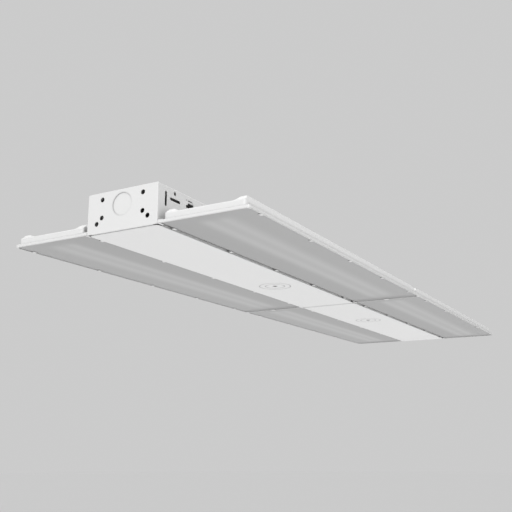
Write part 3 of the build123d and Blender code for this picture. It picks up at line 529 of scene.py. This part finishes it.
# aluminium case, coloured near black as painted shade so that the channel's openings look dark where the case shows
# through them
driverCase = {
    "colour": (0.055, 0.055, 0.058), "metallic": 0.35, "roughness": 0.52, "fineness": 900.0, "stretch": 0.012,
    "depth": 0.5, "edgeRadius": 0.0006, "edgeColour": (0.11, 0.11, 0.115), "bump": 0.16,
}
pottingMix = {
    "colour": (0.045, 0.045, 0.048), "roughness": 0.62, "grainScale": 900.0, "driftScale": 30.0, "drift": 0.18,
    "edgeRadius": 0.0004, "edgeColour": (0.07, 0.07, 0.07), "bump": 0.25,
}
terminalPlastic = {
    "colour": (0.80, 0.80, 0.76), "roughness": 0.48, "grainScale": 2200.0, "driftScale": 50.0, "drift": 0.03,
    "edgeRadius": 0.0004, "edgeColour": (0.86, 0.86, 0.82), "bump": 0.08,
}
greyJacket = {
    "colour": (0.34, 0.34, 0.335), "roughness": 0.40, "grainScale": 2600.0, "driftScale": 90.0, "drift": 0.08,
    "edgeRadius": 0.0002, "edgeColour": (0.42, 0.42, 0.415), "bump": 0.06,
}
blackJacket = {
    "colour": (0.05, 0.05, 0.052), "roughness": 0.38, "grainScale": 2600.0, "driftScale": 90.0, "drift": 0.12,
    "edgeRadius": 0.0002, "edgeColour": (0.08, 0.08, 0.08), "bump": 0.06,
}
bushingPlastic = {
    "colour": (0.045, 0.045, 0.045), "roughness": 0.50, "grainScale": 2200.0, "driftScale": 120.0, "drift": 0.12,
    "edgeRadius": 0.0003, "edgeColour": (0.08, 0.08, 0.08), "bump": 0.10,
}
earthGreen = {
    "colour": (0.10, 0.40, 0.15), "metallic": 0.7, "roughness": 0.36, "fineness": 2400.0, "stretch": 1.0,
    "depth": 0.5, "edgeRadius": 0.0003, "edgeColour": (0.34, 0.60, 0.38), "bump": 0.12,
}
rivetMetal = {
    "colour": (0.78, 0.78, 0.79), "metallic": 1.0, "roughness": 0.34, "fineness": 1800.0, "stretch": 1.0,
    "depth": 0.5, "edgeRadius": 0.0003, "edgeColour": (0.86, 0.86, 0.87), "bump": 0.12,
}
zincSteel = {
    "colour": (0.66, 0.67, 0.68), "metallic": 1.0, "roughness": 0.36, "fineness": 2400.0, "stretch": 1.0,
    "depth": 0.5, "edgeRadius": 0.0003, "edgeColour": (0.78, 0.79, 0.80), "bump": 0.14,
}

finishes = {
    "pan_paint": powderCoat("panPaint", panPaint),
    "channel_paint": powderCoat("channelPaint", channelPaint),
    "end_cap_paint": powderCoat("endCapPaint", endCapPaint),
    "cover_paint": powderCoat("coverPaint", coverPaint),
    "splice_paint": powderCoat("splicePaint", splicePaint),
    "frosted_lens": frostedAcrylic("frostedLens", frostedLens),
    "board_white": mouldedPlastic("boardMask", boardMask),
    "emitter_phosphor": mouldedPlastic("emitterPhosphor", emitterPhosphor),
    "socket_plastic": mouldedPlastic("socketPlastic", socketPlastic),
    "driver_aluminium": drawnMetal("driverCase", driverCase),
    "potting": mouldedPlastic("pottingMix", pottingMix),
    "terminal_plastic": mouldedPlastic("terminalPlastic", terminalPlastic),
    "output_lead": mouldedPlastic("greyJacket", greyJacket),
    "supply_lead": mouldedPlastic("blackJacket", blackJacket),
    "bushing_plastic": mouldedPlastic("bushingPlastic", bushingPlastic),
    "earth_screw": drawnMetal("earthGreen", earthGreen),
    "rivet_aluminium": drawnMetal("rivetMetal", rivetMetal),
    "screw_zinc": drawnMetal("zincSteel", zincSteel),
}
print("materials:", len(finishes), "finishes made")

for part in frame["record"]["subparts"]:
    shown = nodes[part["node"]]
    finish = finishes[part["material_slot"]]
    if not shown.material_slots:
        shown.data.materials.append(finish)
    for slot in shown.material_slots:
        slot.material = finish


# blind rivets with a low dome, a drawn-in middle and a set tail

domedRivet = {
    "turns": 28, "domeSteps": 6, "domeFoot": 0.0002, "sharpAngle": 40.0, "weldReach": 0.000002,
    "recess": ((0.0, 0.00035), (0.86, 0.00035), (1.0, 0.00021), (1.04, 0.00003), (1.25, 0.0)),
    "tailShape": ((0.94, 1.0), (1.0, 0.7), (0.92, 0.15), (0.6, 0.0), (0.0, 0.0)),
    "foot": {"head": 0.0020, "height": 0.0009, "body": 0.0011, "tail": 0.0014, "pin": 0.0006, "low": 0.0038},
    "cap": {"head": 0.0030, "height": 0.0011, "body": 0.0016, "tail": 0.0024, "pin": 0.0009, "low": 0.0038},
    "splice": {"head": 0.0030, "height": 0.0011, "body": 0.0016, "tail": 0.0024, "pin": 0.0009, "low": 0.0120},
}


def rivetProfile(form, foot, high):
    # outline from the middle of the head down to the middle of the tail
    top = high + form["height"]
    profile = [(form["pin"] * across, top - drop) for across, drop in domedRivet["recess"]]
    shoulder = profile[-1][0]
    domeHeight = form["height"] - domedRivet["domeFoot"]
    for step in range(1, domedRivet["domeSteps"] + 1):
        angle = step / domedRivet["domeSteps"] * math.pi / 2
        profile.append((
            shoulder + (form["head"] - shoulder) * math.sin(angle),
            high + domedRivet["domeFoot"] + domeHeight * math.cos(angle),
        ))
    profile += [(form["head"], high), (form["body"], high), (form["body"], form["low"])]
    length = form["low"] - foot
    return profile + [(form["tail"] * across, foot + length * share) for across, share in domedRivet["tailShape"]]


def turnProfile(mesh, profile, centre):
    # revolves a profile about an upright axis
    turns = domedRivet["turns"]
    rings = []
    for radius, height in profile:
        if radius == 0.0:
            rings.append([mesh.verts.new((centre[0], centre[1], height))])
            continue
        ring = []
        for step in range(turns):
            angle = 2 * math.pi * step / turns
            ring.append(mesh.verts.new((
                centre[0] + radius * math.cos(angle), centre[1] + radius * math.sin(angle), height,
            )))
        rings.append(ring)
    for upper, lower in zip(rings, rings[1:]):
        for step in range(turns):
            following = (step + 1) % turns
            if len(upper) == 1:
                mesh.faces.new((upper[0], lower[step], lower[following]))
            elif len(lower) == 1:
                mesh.faces.new((upper[step], lower[0], upper[following]))
            else:
                mesh.faces.new((upper[step], lower[step], lower[following], upper[following]))


def finishMesh(mesh, name, material, smooth=True):
    bmesh.ops.recalc_face_normals(mesh, faces=mesh.faces)
    data = bpy.data.meshes.new(name)
    mesh.to_mesh(data)
    mesh.free()
    data.materials.append(material)
    if smooth:
        data.shade_smooth()
        data.set_sharp_from_angle(angle=math.radians(domedRivet["sharpAngle"]))
    made = bpy.data.objects.new(name, data)
    scene.collection.objects.link(made)
    return made


def solidBoxes(node):
    # box of each separate solid of a node that groups like fasteners
    mesh = bmesh.new()
    mesh.from_mesh(nodes[node].data)
    bmesh.ops.remove_doubles(mesh, verts=mesh.verts, dist=domedRivet["weldReach"])
    left = set(mesh.verts)
    boxes = []
    while left:
        stack = [left.pop()]
        seen = [stack[0]]
        while stack:
            for edge in stack.pop().link_edges:
                for vert in edge.verts:
                    if vert in left:
                        left.discard(vert)
                        stack.append(vert)
                        seen.append(vert)
        low = Vector([min(v.co[k] for v in seen) for k in range(3)])
        high = Vector([max(v.co[k] for v in seen) for k in range(3)])
        boxes.append((low, high))
    mesh.free()
    return boxes


def buildRivets(node, form):
    mesh = bmesh.new()
    boxes = solidBoxes(node)
    for low, high in boxes:
        centre = ((low.x + high.x) / 2, (low.y + high.y) / 2)
        turnProfile(mesh, rivetProfile(form, low.z, high.z - form["height"]), centre)
    made = finishMesh(mesh, node + "_domed", finishes["rivet_aluminium"])
    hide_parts(node)
    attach(made, "root")
    print("rivets:", node, len(boxes), "domed")


buildRivets("splice_rivets", domedRivet["splice"])
buildRivets("cap_rivets", domedRivet["cap"])
buildRivets("channel_rivets", domedRivet["foot"])


# floor, backdrop and light

studio = {
    "floorLevel": -2.2, "floorRadius": 40.0, "floorSides": 96, "floorColour": (0.88, 0.88, 0.88),
    "floorRoughness": 0.85, "floorSpecular": 0.1, "floorPatch": 0.6, "floorDrift": 0.01,
    "seenFloor": (0.663, 0.663, 0.663), "seenColour": (0.60, 0.60, 0.60), "worldLight": 0.355,
    "keyPlace": (-3.1, -1.25, 0.9), "keyAim": (-0.5, 0.0, 0.0), "keyPower": 37.5, "keySize": 1.6,
    "fillPlace": (1.2, 0.3, -2.0), "fillAim": (1.0, 0.3, 0.0), "fillPower": 4.5, "fillSize": 1.0,
    "topFrom": (0.0, 0.0, 1.0), "topStrength": 1.68, "topAngle": 50.0, "topDistance": 3.0,
}


def seenDirectly(tree, place):
    # 1 for rays that show the surroundings, 0 for those that only light the fixture
    column, row = place
    path = addNode(tree, "ShaderNodeLightPath", place)
    either = mathNode(tree, "MAXIMUM", (column + 1, row), path.outputs["Is Camera Ray"], path.outputs["Is Glossy Ray"])
    return mathNode(tree, "MAXIMUM", (column + 2, row), either, path.outputs["Is Transmission Ray"])


def buildFloor():
    mesh = bmesh.new()
    ring = []
    for step in range(studio["floorSides"]):
        angle = 2 * math.pi * step / studio["floorSides"]
        ring.append(mesh.verts.new((
            studio["floorRadius"] * math.cos(angle), studio["floorRadius"] * math.sin(angle), studio["floorLevel"],
        )))
    mesh.faces.new(ring)
    made, tree, shader = startMaterial("studioFloor", studio["floorColour"], studio["floorRoughness"], {})
    shader.inputs["Specular IOR Level"].default_value = studio["floorSpecular"]
    slow = addNode(tree, "ShaderNodeTexNoise", (3, 2), {"Scale": studio["floorPatch"], "Detail": 2.0})
    drift = wanderAround(tree, (4, 2), slow.outputs["Fac"], studio["floorDrift"], 1.0)
    looked = addNode(tree, "ShaderNodeMix", (4, 3), settings={"data_type": "RGBA"})
    looked.inputs["A"].default_value = (*studio["floorColour"], 1.0)
    looked.inputs["B"].default_value = (*studio["seenFloor"], 1.0)
    tree.links.new(seenDirectly(tree, (1, 4)), looked.inputs["Factor"])
    tone = addNode(tree, "ShaderNodeVectorMath", (5, 2), settings={"operation": "SCALE"})
    tree.links.new(looked.outputs["Result"], tone.inputs[0])
    tree.links.new(drift, tone.inputs["Scale"])
    tree.links.new(tone.outputs["Vector"], shader.inputs["Base Color"])
    floor = finishMesh(mesh, "studioFloor", made, smooth=False)


def buildWorld():
    world = bpy.data.worlds.new("studioWorld")
    scene.world = world
    world.use_nodes = True
    tree = world.node_tree
    tree.nodes.clear()
    output = addNode(tree, "ShaderNodeOutputWorld", (5, 0))
    light = addNode(tree, "ShaderNodeBackground", (2, 0), {"Strength": studio["worldLight"]})
    light.inputs["Color"].default_value = (1.0, 1.0, 1.0, 1.0)
    seen = addNode(tree, "ShaderNodeBackground", (2, 1), {"Strength": 1.0})
    seen.inputs["Color"].default_value = (*studio["seenColour"], 1.0)
    mixed = addNode(tree, "ShaderNodeMixShader", (4, 0))
    tree.links.new(seenDirectly(tree, (0, 2)), mixed.inputs["Fac"])
    tree.links.new(light.outputs["Background"], mixed.inputs[1])
    tree.links.new(seen.outputs["Background"], mixed.inputs[2])
    join(tree, mixed, "Shader", output, "Surface")


def addPanel(name, place, aim, power, size):
    lamp = bpy.data.lights.new(name, "AREA")
    lamp.shape = "SQUARE"
    lamp.size = size
    lamp.energy = power
    made = bpy.data.objects.new(name, lamp)
    scene.collection.objects.link(made)
    made.location = place
    made.rotation_mode = "QUATERNION"
    made.rotation_quaternion = (Vector(place) - Vector(aim)).to_track_quat("Z", "Y")
    made.visible_camera = False


def addSun(name, comesFrom, strength, angle):
    lamp = bpy.data.lights.new(name, "SUN")
    lamp.energy = strength
    lamp.angle = math.radians(angle)
    made = bpy.data.objects.new(name, lamp)
    scene.collection.objects.link(made)
    made.rotation_mode = "QUATERNION"
    made.rotation_quaternion = Vector(comesFrom).to_track_quat("Z", "Y")
    made.location = Vector(comesFrom) * studio["topDistance"]


buildFloor()
buildWorld()
addPanel("keyLight", studio["keyPlace"], studio["keyAim"], studio["keyPower"], studio["keySize"])
addPanel("fillLight", studio["fillPlace"], studio["fillAim"], studio["fillPower"], studio["fillSize"])
addSun("topLight", studio["topFrom"], studio["topStrength"], studio["topAngle"])
scene.view_settings.view_transform = "Standard"
print("studio: floor, world and three soft lamps")


# camera

cameraView = {
    "place": (-1.2124, -0.5366, -0.2299),
    "forward": (0.84473, 0.47923, 0.23826), "right": (0.49364, -0.86967, -0.00093),
    "lens": 51.12, "sensor": 36.0, "nearest": 0.01, "furthest": 200.0,
}


def buildCamera():
    data = bpy.data.cameras.new("photoCamera")
    data.lens = cameraView["lens"]
    data.sensor_width = cameraView["sensor"]
    data.clip_start = cameraView["nearest"]
    data.clip_end = cameraView["furthest"]
    made = bpy.data.objects.new("photoCamera", data)
    scene.collection.objects.link(made)
    forward = Vector(cameraView["forward"]).normalized()
    right = Vector(cameraView["right"])
    right = (right - forward * right.dot(forward)).normalized()
    up = (-forward).cross(right)
    turned = Matrix((right, up, -forward)).transposed().to_4x4()
    turned.translation = Vector(cameraView["place"])
    made.matrix_world = turned
    scene.camera = made


buildCamera()
print("camera: set to the photograph's view")
